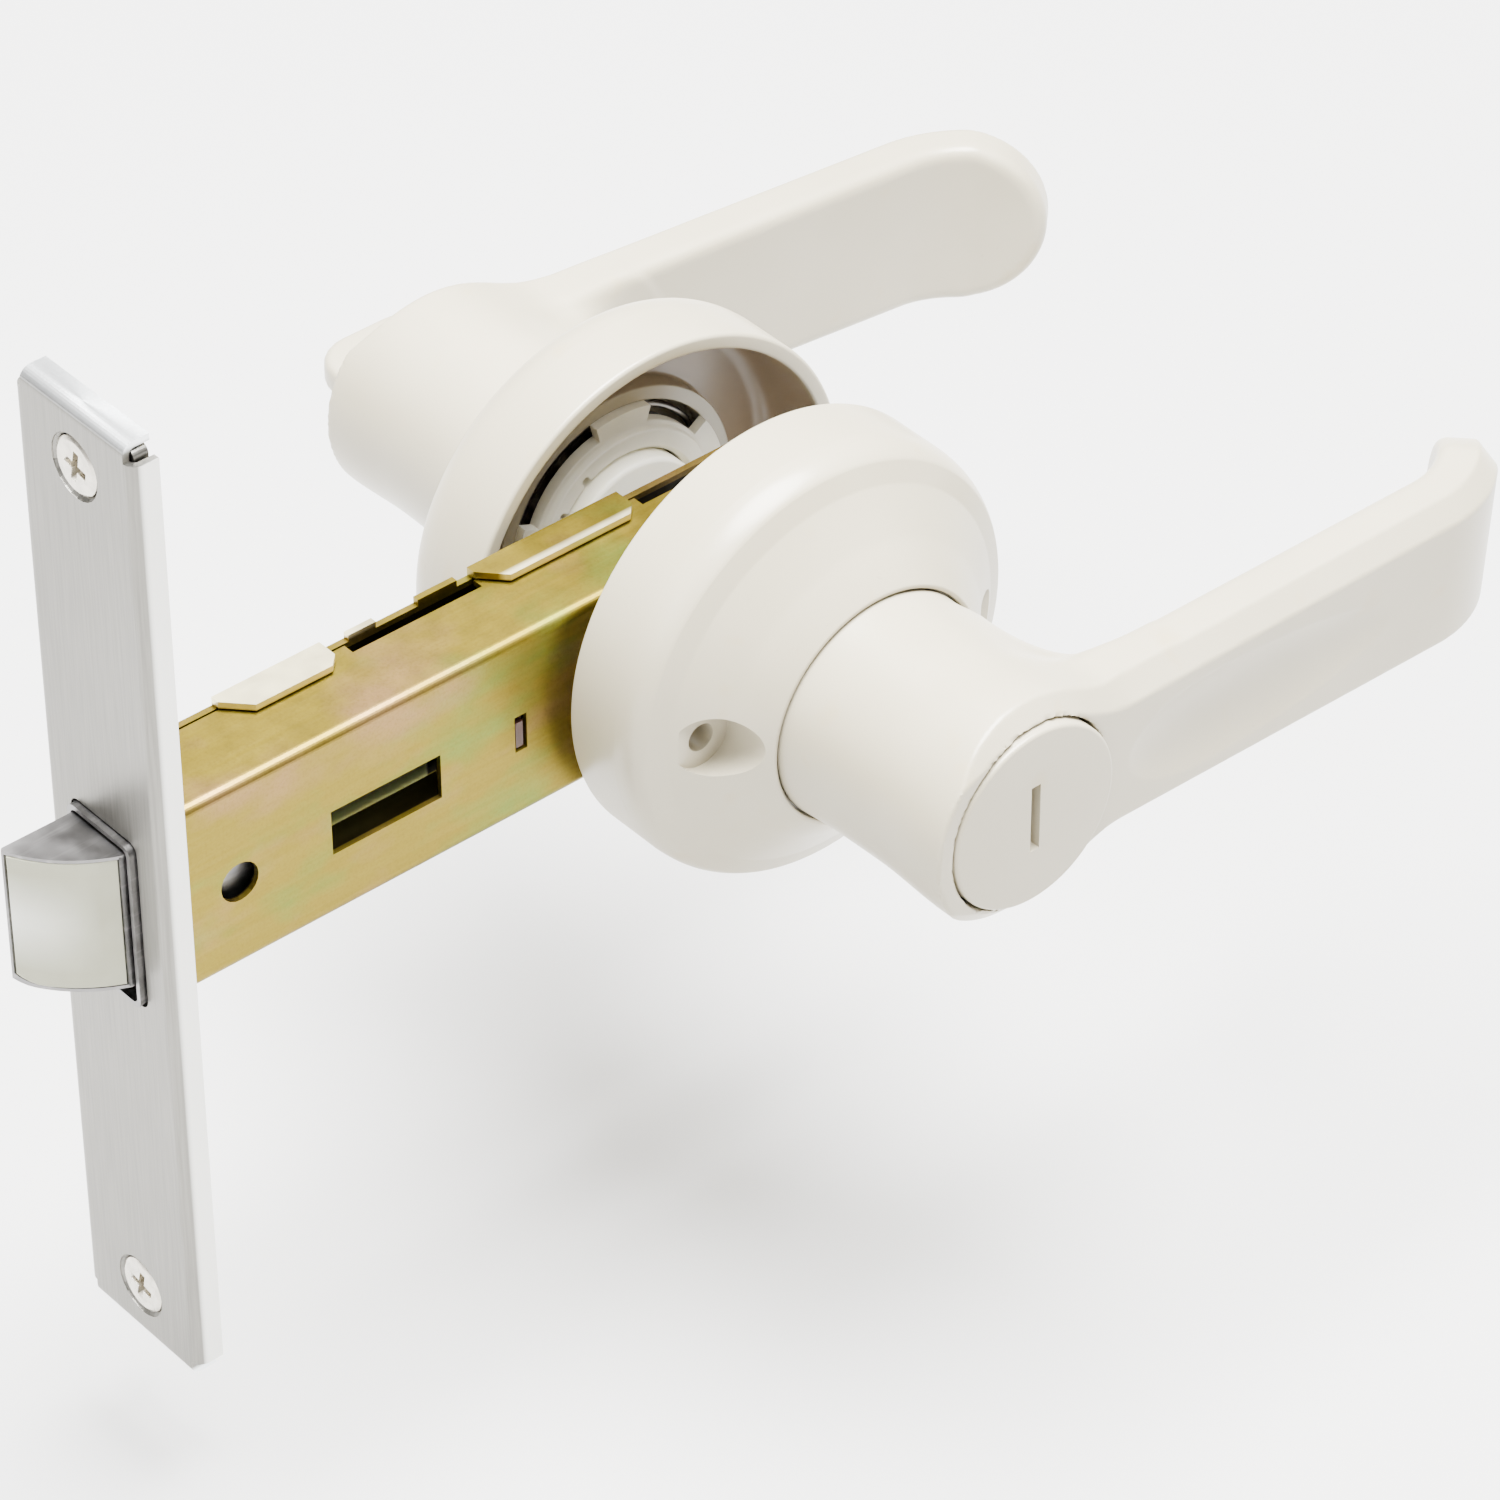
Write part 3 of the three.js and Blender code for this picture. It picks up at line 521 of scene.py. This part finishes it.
def thumb_turn(name):
    """The thumb turn in the inner hub: a round collar and a flat wing."""
    front = FRONTS[INNER]
    top = front + 14
    collar = turned("collar", [
        (0, front - 5.15), (9.5, front - 5.15, 0.2), (9.5, front + 0.9, 0.7), (0, front + 1.3),
    ], INNER)
    outline = softened([(-10.2, front + 0.5), (10.2, front + 0.5), (9.8, top, 6.2),
                        (-9.8, top, 6.2)])
    wing = prism("wing", outline, -2.3, 2.3, lambda a, b, h: (a, b, h))
    settled(eased(wing, 1.3, 4))
    body = carved(collar, wing, keep="UNION")
    body.name = name
    return carved(body, shaft_way(54, front - 3.1))


# ---- latch bolt ----
def bolt_outline(near, far, inset, tail):
    """The bolt seen from above: its ramp curves from the near side to the tip on the far side."""
    tip = -BACKSET - BOLT_THROW + inset
    curve = []
    start, middle, end = (-BACKSET - 1.2, near), (tip + 3.4, near + 3.4), (tip, far - 0.4)
    steps = 24
    for k in range(steps + 1):
        t = k / steps
        curve.append(tuple((1 - t) ** 2 * a + 2 * t * (1 - t) * b + t * t * c
                           for a, b, c in zip(start, middle, end)))
    return [(tail, near), *curve, (tip + 0.4, far), (tail, far)]


def bolt_envelope(shrink, tail):
    """The bolt seen from the side, its lower tip corner rounded, shrunk all round."""
    half = 10.9 - shrink
    tip = -BACKSET - BOLT_THROW - 0.7 + shrink
    outline = softened([(tip, -half, 2.3), (tail, -half), (tail, half), (tip, half, 0.5)])
    return prism("envelope", outline, -20, 20, lambda a, b, h: (a, h, b))


def bolt_shell(name):
    """The bolt's metal body, hollow for the nose, with a strip up its near side."""
    shell = prism(name, bolt_outline(-5.5, 5.7, 0, -92), -10.9, 10.9, lambda a, b, h: (a, b, h))
    carved(shell, bolt_envelope(0, -90), keep="INTERSECT")
    hollow = bolt_envelope(0.5, -94)
    carved(hollow, block("reach of the hollow", (-114, -93.6), (-7, 5.0), (-20, 20)), keep="INTERSECT")
    carved(shell, hollow)
    carved(shell, block("side strip", (-101.6, -90), (-5.5, -4.9), (-10.6, 10.6)), keep="UNION")
    # a tongue behind the bolt, seen through the round hole in the case
    carved(shell, block("tongue", (-96, -80.8), (-5.3, -4.6), (-5.2, 3.2)), keep="UNION")
    return eased(shell, 0.12)


def bolt_nose(name):
    """The nylon face of the bolt, set into its body."""
    nose = prism(name, bolt_outline(-5.42, 4.9, 0.2, -97), -10.4, 10.4, lambda a, b, h: (a, b, h))
    carved(nose, bolt_envelope(0.62, -96), keep="INTERSECT")
    notch = block("behind the strip", (-101.75, -90), (-6, -4.75), (-12, 12))
    carved(nose, notch)
    return eased(nose, 0.35, 3, angle=50)


def bolt_spring(name):
    """The coil behind the bolt, along X."""
    turns, steps, radius = 8, 400, 3.6
    start, length = -91.2, 18.4
    line = []
    for k in range(steps + 1):
        angle = 2 * math.pi * turns * k / steps
        line.append((start + length * k / steps, radius * math.cos(angle), radius * math.sin(angle)))
    return wound(name, line, 0.8)


# ---- faceplate screws ----
def faceplate_screw(name, height):
    """A countersunk screw with a cross, its head level with the faceplate."""
    front = -BACKSET + 0.05
    outline = softened([(0, front), (3.6, front, 0.3), (4.25, front + 0.35, 0.15),
                        (2.0, front + 2.6), (2.0, front + 5.4, 0.4), (0, front + 6)])
    points, faces = [], []
    segments, count = 72, len(outline)
    for k in range(segments):
        angle = 2 * math.pi * k / segments
        for radius, x in outline:
            points.append((x, radius * math.cos(angle), height + radius * math.sin(angle)))
        for i in range(count - 1):
            j = (k + 1) % segments * count
            faces.append((k * count + i, k * count + i + 1, j + i + 1, j + i))
    screw = new_piece(name, points, faces)
    cutters = []
    for turn in (12, 102):
        arm = [(-2.3, -0.55), (2.3, -0.55), (2.3, 0.55), (-2.3, 0.55)]
        spin = math.radians(turn)
        near = [(a * math.cos(spin) - b * math.sin(spin), a * math.sin(spin) + b * math.cos(spin))
                for a, b in arm]
        deep = [(a * 0.35, b * 0.6) for a, b in near]
        rings = [[(front - 0.6, a * 1.15, height + b * 1.15) for a, b in near],
                 [(front + 1.9, a, height + b) for a, b in deep]]
        faces = [(0, 1, 2, 3), (4, 5, 6, 7), (0, 1, 5, 4), (1, 2, 6, 5), (2, 3, 7, 6), (3, 0, 4, 7)]
        cutters.append(new_piece("cross", rings[0] + rings[1], faces))
    return eased(carved(screw, *cutters), 0.1, angle=35)


# ---- finishes ----
class Reading:
    """A varying number in a finish. Arithmetic on it adds the nodes that work it out."""

    def __init__(self, finish, socket):
        self.finish = finish
        self.socket = socket

    def __add__(self, other):
        return self.finish.maths("ADD", self, other)

    def __sub__(self, other):
        return self.finish.maths("SUBTRACT", self, other)

    def __rsub__(self, other):
        return self.finish.maths("SUBTRACT", other, self)

    def __mul__(self, other):
        return self.finish.maths("MULTIPLY", self, other)

    def __truediv__(self, other):
        return self.finish.maths("DIVIDE", self, other)

    def __rtruediv__(self, other):
        return self.finish.maths("DIVIDE", other, self)

    def __pow__(self, other):
        return self.finish.maths("POWER", self, other)

    __radd__ = __add__
    __rmul__ = __mul__

    def size(self):
        return self.finish.maths("ABSOLUTE", self, 0)

    def between(self, low, high):
        """0 below low, 1 above high and an even rise between."""
        return self.finish.maths("MULTIPLY", (self - low) / (high - low), 1, clamp=True)


class Finish:
    """A material whose varying parts are written as sums on readings."""

    def __init__(self, name, **constants):
        self.material = bpy.data.materials.new(name)
        self.material.use_nodes = True
        self.tree = self.material.node_tree
        self.skin = self.tree.nodes["Principled BSDF"]
        for socket, value in constants.items():
            self.skin.inputs[socket.replace("_", " ")].default_value = value
        self.place = self.node("TexCoord").outputs["Object"]
        apart = self.node("SeparateXYZ", {}, {0: self.place})
        # where a point lies, in millimetres
        self.x, self.y, self.z = (Reading(self, out) * 1000 for out in apart.outputs)

    def feed(self, socket, value):
        if isinstance(value, Reading):
            value = value.socket
        if isinstance(value, bpy.types.NodeSocket):
            self.tree.links.new(value, socket)
        else:
            socket.default_value = value

    def node(self, kind, settings=(), inputs=()):
        node = self.tree.nodes.new("ShaderNode" + kind)
        for key, value in dict(settings).items():
            setattr(node, key, value)
        for key, value in dict(inputs).items():
            self.feed(node.inputs[key], value)
        return node

    def maths(self, operation, first, second, clamp=False):
        node = self.node("Math", {"operation": operation, "use_clamp": clamp},
                         {0: first, 1: second})
        return Reading(self, node.outputs[0])

    def grain(self, scale, stretch=(1, 1, 1), shift=0.0, detail=2.0):
        """Cloudy variation, finer as scale rises and drawn out where stretch is under 1."""
        moved = self.node("VectorMath", {"operation": "MULTIPLY_ADD"},
                          {0: self.place, 1: stretch, 2: (shift, shift * 0.7, shift * 1.3)})
        noise = self.node("TexNoise", {}, {"Vector": moved.outputs[0], "Scale": scale,
                                           "Detail": detail})
        return Reading(self, noise.outputs[0])

    def mix(self, share, first, second):
        node = self.node("Mix", {"data_type": "RGBA"}, {0: share, 6: first, 7: second})
        return node.outputs[2]

    def colour(self, value):
        self.feed(self.skin.inputs["Base Color"], value)

    def roughness(self, value):
        self.feed(self.skin.inputs["Roughness"], value)

    def relief(self, height, depth):
        """Raises the surface by a reading, depth in millimetres."""
        bump = self.node("Bump", {}, {"Strength": 1.0, "Distance": depth * MM, "Height": height})
        self.feed(self.skin.inputs["Normal"], bump.outputs[0])


def ivory_plastic(cup=False):
    """Glossy moulded plastic, slightly uneven in tone, with a few faint yellowed spots. With cup set,
    the cup inside a rose gets painted shade: a dull brown in place of its shadow and the case's
    reflection."""
    f = Finish("ivory plastic", IOR=1.5, Coat_Weight=0.08, Coat_Roughness=0.15)
    warmth = f.grain(38).between(0.35, 0.7)
    spots = f.grain(120, shift=3.1).between(0.66, 0.76) * 0.35
    specks = f.grain(1500, shift=8.0, detail=1).between(0.74, 0.8) * 0.3
    tone = f.mix(warmth, (0.355, 0.318, 0.229, 1), (0.385, 0.348, 0.258, 1))
    tone = f.mix(spots, tone, (0.37, 0.295, 0.16, 1))
    tone = f.mix(specks, tone, (0.27, 0.235, 0.18, 1))
    if cup:
        # painted shade: the cup's inner wall and floor are painted dull brown in place of their shadow
        # and the case's reflection
        radius = (f.x * f.x + f.z * f.z) ** 0.5
        painted_cup_shade = (1 - radius.between(30.4, 30.7)) * radius.between(20.3, 20.9)
        painted_cup_shade = painted_cup_shade * f.y.size().between(10.5, 11.5) * (1 - f.y.size().between(22.9, 23.1))
        tone = f.mix(painted_cup_shade * 0.92, tone, (0.27, 0.20, 0.13, 1))
    f.colour(tone)
    f.roughness(0.27 + f.grain(90, shift=1.7) * 0.1)
    f.relief(f.grain(900, shift=5.0) * 0.5 + f.grain(60, shift=2.0) * 2, 0.012)
    return f.material


def brushed_stainless():
    """Sheet brushed along its length, with a light haze of handling, and painted highlights along its
    long edges and at its rounded ends.
    """
    f = Finish("brushed stainless", Metallic=1.0, Anisotropic=0.4)
    lines = f.grain(2600, stretch=(1, 1, 0.03))
    haze = f.grain(45, shift=4.0).between(0.3, 0.75)
    tone = f.mix(lines.between(0.3, 0.7), (0.165, 0.160, 0.145, 1), (0.215, 0.209, 0.190, 1))
    # painted highlight: a near-white band along the plate's long edges
    tone = f.mix(f.y.size().between(12.1, 12.4) * 0.9, tone, (0.95, 0.95, 0.91, 1))
    # painted highlight: a pale bluish band at the plate's rounded top and bottom ends
    f.colour(f.mix(f.z.size().between(75.6, 76.4) * 0.85, tone, (0.9, 0.93, 0.95, 1)))
    f.roughness(0.3 + lines * 0.12 + haze * 0.08)
    f.relief(lines, 0.012)
    return f.material


def cast_zinc():
    """Dull grey plated metal, mottled and lightly rubbed."""
    f = Finish("plated zinc", Metallic=1.0)
    mottle = f.grain(260).between(0.3, 0.7)
    rub = f.grain(900, stretch=(0.08, 1, 1), shift=6.0).between(0.55, 0.8)
    tone = f.mix(mottle, (0.15, 0.146, 0.144, 1), (0.21, 0.205, 0.203, 1))
    f.colour(f.mix(rub * 0.5, tone, (0.36, 0.35, 0.345, 1)))
    f.roughness(0.32 + mottle * 0.12)
    f.relief(f.grain(1400, shift=2.0) + rub, 0.01)
    return f.material


def yellow_chromate():
    """Yellow passivated sheet: gold drifting to green and pink, rolled along its length."""
    f = Finish("yellow chromate", Metallic=1.0)
    bands = f.grain(62, stretch=(0.8, 1, 1.6), detail=4)
    green = bands.between(0.5, 0.66)
    pink = 1 - f.grain(48, stretch=(0.9, 1, 1.5), shift=7.3, detail=4).between(0.34, 0.5)
    rolled = f.grain(1500, stretch=(0.03, 1, 1))
    tone = f.mix(green * 0.9, (0.185, 0.138, 0.015, 1), (0.12, 0.16, 0.026, 1))
    tone = f.mix(pink * 0.65, tone, (0.27, 0.15, 0.08, 1))
    tone = f.mix(rolled.between(0.35, 0.65) * 0.12, tone, (0.30, 0.23, 0.05, 1))
    tone = f.mix(f.grain(2400, shift=9.0).between(0.45, 0.75) * 0.3, tone, (0.11, 0.075, 0.01, 1))
    # painted highlight: the tops of the folded tabs are painted bright cream, the rear one along its
    # edge only
    tab_highlight_reach = 1 - f.x.between(-55, -45) * f.y.between(3.0, 3.8)
    tone = f.mix(f.z.between(14.9, 15.3) * tab_highlight_reach * 0.8, tone, (0.96, 0.88, 0.58, 1))
    # painted shade: inside the case the sheet is painted nearly black, but for a painted strip of
    # light near the foot of the far wall
    inside = (1 - f.y.size().between(6.65, 6.85)) * (1 - f.z.size().between(13.75, 13.9))
    tone = f.mix(inside * 0.95, tone, (0.012, 0.009, 0.004, 1))
    # painted light: a pale strip on the far wall's inner face near its foot
    strip = f.y.between(6.4, 6.5) * (1 - f.y.between(6.6, 6.7)) * (1 - f.z.between(-11.9, -11.7))
    strip = strip * f.z.between(-14.1, -13.9) * (1 - f.x.between(-43.8, -43.5))
    f.colour(f.mix(strip, tone, (0.75, 0.80, 0.45, 1)))
    f.roughness(0.3 + f.grain(260, shift=5.0) * 0.14)
    f.relief(rolled * 0.3 + f.grain(900, shift=3.0) * 0.7, 0.01)
    return f.material


def milky_nylon(dull, clear, tip=0.0):
    """Moulded nylon that lets some light through, clouded between two tones. With tip set, the bolt's
    nose gets a painted glow, whiter at the middle of its tip."""
    f = Finish("milky nylon", Subsurface_Weight=0.35, Subsurface_Scale=0.002,
               Subsurface_Radius=(1.0, 0.95, 0.8))
    cloud = f.grain(150).between(0.3, 0.75)
    # painted glow: the middle of the nose's tip is painted whiter, scaled by tip
    pale = (1 - f.x.between(-112, -104)) * (1 - f.z.size().between(1, 8)) * tip
    f.colour(f.mix(pale, f.mix(cloud, dull, clear), (0.85, 0.86, 0.80, 1)))
    f.roughness(0.33 + f.grain(500, shift=2.0) * 0.14)
    f.relief(f.grain(1200, shift=4.0), 0.01)
    return f.material


def pale_nickel():
    f = Finish("pale nickel", Metallic=1.0)
    wear = f.grain(700).between(0.4, 0.7)
    f.colour(f.mix(wear, (0.62, 0.585, 0.51, 1), (0.52, 0.49, 0.43, 1)))
    f.roughness(0.22 + wear * 0.12)
    f.relief(f.grain(2200, shift=1.0), 0.006)
    return f.material


def spring_steel():
    f = Finish("spring steel", Metallic=1.0)
    film = f.grain(500).between(0.3, 0.7)
    f.colour(f.mix(film, (0.16, 0.15, 0.145, 1), (0.28, 0.265, 0.25, 1)))
    f.roughness(0.3 + film * 0.15)
    f.relief(f.grain(2500, shift=1.0), 0.004)
    return f.material


finishes = {
    "ivory_plastic": ivory_plastic(),
    "rose": ivory_plastic(cup=True),
    "stainless": brushed_stainless(),
    "zinc": cast_zinc(),
    "yellow_chromate": yellow_chromate(),
    "nylon": milky_nylon((0.28, 0.28, 0.195, 1), (0.33, 0.33, 0.235, 1), tip=0.6),
    # painted light: the bush takes a brighter copy of the cover's nylon, standing in for the light
    # falling on it
    "lit_bush_nylon": milky_nylon((0.90, 0.86, 0.71, 1), (0.93, 0.90, 0.77, 1)),
    "brown nylon": milky_nylon((0.03, 0.012, 0.008, 1), (0.06, 0.025, 0.016, 1)),
    "cover": milky_nylon((0.76, 0.73, 0.60, 1), (0.82, 0.79, 0.67, 1)),
    "nickel": pale_nickel(),
    "spring_steel": spring_steel(),
}


def fit(piece, node, slot, finish=None):
    """Puts a finished piece in place of its CAD node, riding the same body."""
    piece.data.materials.clear()
    piece.data.materials.append(finishes[finish or slot])
    body = frame["nodes"][node]["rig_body"]
    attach(piece, body)
    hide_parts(node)
    return piece


# ---- pieces made finer than the CAD ----
fit(lever("front_lever", OUTER), "outer_lever", "ivory_plastic")
fit(lever("back_lever", INNER), "inner_lever", "ivory_plastic")
for side, prefix in ((OUTER, "outer"), (INNER, "inner")):
    fit(rose(f"{prefix}_rose_body", side), f"{prefix}_rose", "ivory_plastic", "rose")
    fit(spring_cover(f"{prefix}_cover", side), f"{prefix}_spring_cover", "nylon", "cover")
    fit(return_spring(f"{prefix}_spring", side), f"{prefix}_return_spring", "spring_steel")
    fit(lever_bush(f"{prefix}_bush", side), f"{prefix}_lever_bush", "nylon", "lit_bush_nylon")
fit(coin_disc("disc_with_coin_slot"), "coin_disc", "ivory_plastic")
fit(thumb_turn("thumb_turn_knob"), "thumb_turn", "ivory_plastic")
fit(bolt_shell("bolt_shell_body"), "latch_bolt_shell", "zinc")
fit(bolt_nose("bolt_nose_body"), "latch_bolt_nose", "nylon")
fit(bolt_spring("bolt_spring_coil"), "latch_spring", "spring_steel")
fit(faceplate_screw("top_screw", SCREW_HEIGHT), "faceplate_screw_top", "nickel")
fit(faceplate_screw("bottom_screw", -SCREW_HEIGHT), "faceplate_screw_bottom", "nickel")

# ---- CAD nodes kept as they are, with real finishes and broken edges ----
kept = {
    "faceplate": ("stainless", 0.15),
    "fixing_plate": ("stainless", 0.1),
    "bolt_collar": ("zinc", 0.15),
    "latch_tail": ("zinc", 0.12),
    "case_near_half": ("yellow_chromate", 0.12),
    "case_far_half": ("yellow_chromate", 0.12),
    "tail_guide_block": ("brown nylon", 0.2),
    "spindle": ("zinc", 0.2),
    "follower": ("zinc", 0.2),
    "privacy_shaft": ("zinc", 0.15),
    "outer_retaining_ring": ("spring_steel", 0.1),
    "inner_retaining_ring": ("spring_steel", 0.1),
}
for node, (slot, width) in kept.items():
    frame["nodes"][node].material_slots[0].material = finishes[slot]
    eased(frame["nodes"][node], width)


# ---- floor, light and camera ----
def floor():
    """A pale slab, low enough for the levers to swing down clear of it."""
    f = Finish("pale floor", Roughness=0.7)
    f.colour(f.mix(f.grain(6), (0.93, 0.93, 0.93, 1), (0.945, 0.945, 0.945, 1)))
    slab = block("studio_floor", (-4000, 4000), (-4000, 4000), (-100, -94))
    slab.data.materials.append(f.material)
    return slab


def softbox(name, place, aim, size, power):
    """A round lamp at place, turned towards aim."""
    light = bpy.data.lights.new(name, "AREA")
    light.shape = "DISK"
    light.size = size
    light.energy = power
    lamp = bpy.data.objects.new(name, light)
    bpy.context.scene.collection.objects.link(lamp)
    lamp.location = place
    lamp.rotation_euler = (Vector(aim) - Vector(place)).to_track_quat("-Z", "Y").to_euler()
    return lamp


def room():
    """Soft light from all round, dim at eye level and bright overhead."""
    world = bpy.data.worlds.new("studio")
    world.use_nodes = True
    bpy.context.scene.world = world
    nodes, links = world.node_tree.nodes, world.node_tree.links
    back = nodes["Background"]
    back.inputs["Color"].default_value = (1.0, 0.985, 0.955, 1)
    ray = nodes.new("ShaderNodeSeparateXYZ")
    links.new(nodes.new("ShaderNodeTexCoord").outputs["Generated"], ray.inputs[0])
    rise = nodes.new("ShaderNodeMapRange")
    rise.interpolation_type = "SMOOTHSTEP"
    for name, value in (("From Min", 0.15), ("From Max", 0.95), ("To Min", 0.35), ("To Max", 2.8)):
        rise.inputs[name].default_value = value
    links.new(ray.outputs["Z"], rise.inputs["Value"])
    links.new(rise.outputs["Result"], back.inputs["Strength"])


def lamps():
    softbox("overhead", (0.1, 0.0, 1.2), (0, 0, 0), 0.9, 80)
    # a second lamp from above that falls on the handle set and not on the floor
    spot = softbox("top light", (0.05, -0.05, 1.1), (0, 0, 0), 0.9, 95)
    lit = bpy.data.collections.new("handle set")
    for thing in bpy.context.scene.objects:
        if thing.type == "MESH" and thing.name != "studio_floor":
            lit.objects.link(thing)
    spot.light_linking.receiver_collection = lit
    softbox("left", (-1.2, 0.1, 0.75), (-0.02, 0, 0), 0.7, 8)


def camera():
    """A long lens, looking down on the outer side from beyond the faceplate."""
    lens = bpy.data.cameras.new("camera")
    lens.sensor_width = 36
    lens.lens = 162.32544
    eye = bpy.data.objects.new("camera", lens)
    bpy.context.scene.collection.objects.link(eye)
    right = Vector((0.759536, -0.650459, -0.002738))
    down = Vector((-0.40994, -0.475408, -0.778419))
    ahead = Vector((0.505028, 0.59236, -0.627739))
    turn = Matrix((right, -down, -ahead)).transposed().to_4x4()
    eye.matrix_world = Matrix.Translation((-0.46552, -0.55468, 0.55527)) @ turn
    bpy.context.scene.camera = eye


floor()
room()
lamps()
camera()
